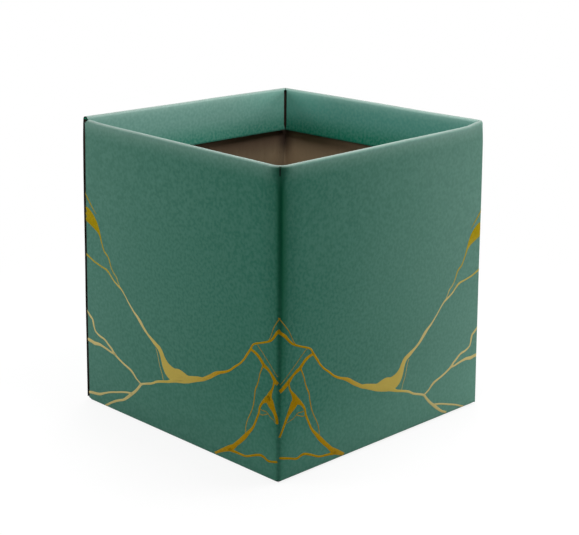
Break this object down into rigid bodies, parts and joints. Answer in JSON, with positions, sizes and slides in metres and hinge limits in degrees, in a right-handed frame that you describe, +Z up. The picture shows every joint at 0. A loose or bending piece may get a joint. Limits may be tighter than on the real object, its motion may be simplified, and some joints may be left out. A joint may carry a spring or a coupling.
{
  "type": "square cachepot",
  "caption": "Square open-topped cachepot folded from printed fluted board, with a rolled rim, turned-in flaps and a glued lock bottom, for standing a plant pot in.",
  "frame": {"origin": "middle of the foot, on the surface that the box stands on", "axes": "+Z up through the open mouth, X and Y square to the walls; the glued seam is at the corner of the -X and -Y walls"},
  "size_m": [0.13, 0.13, 0.135],
  "materials": {
    "printed_board": "matt print outside, bare kraft inside",
    "gold_print": "satin metallic ink"
  },
  "bodies": {
    "root": {"folded_carton": "printed_board"}
  },
  "joints": []
}
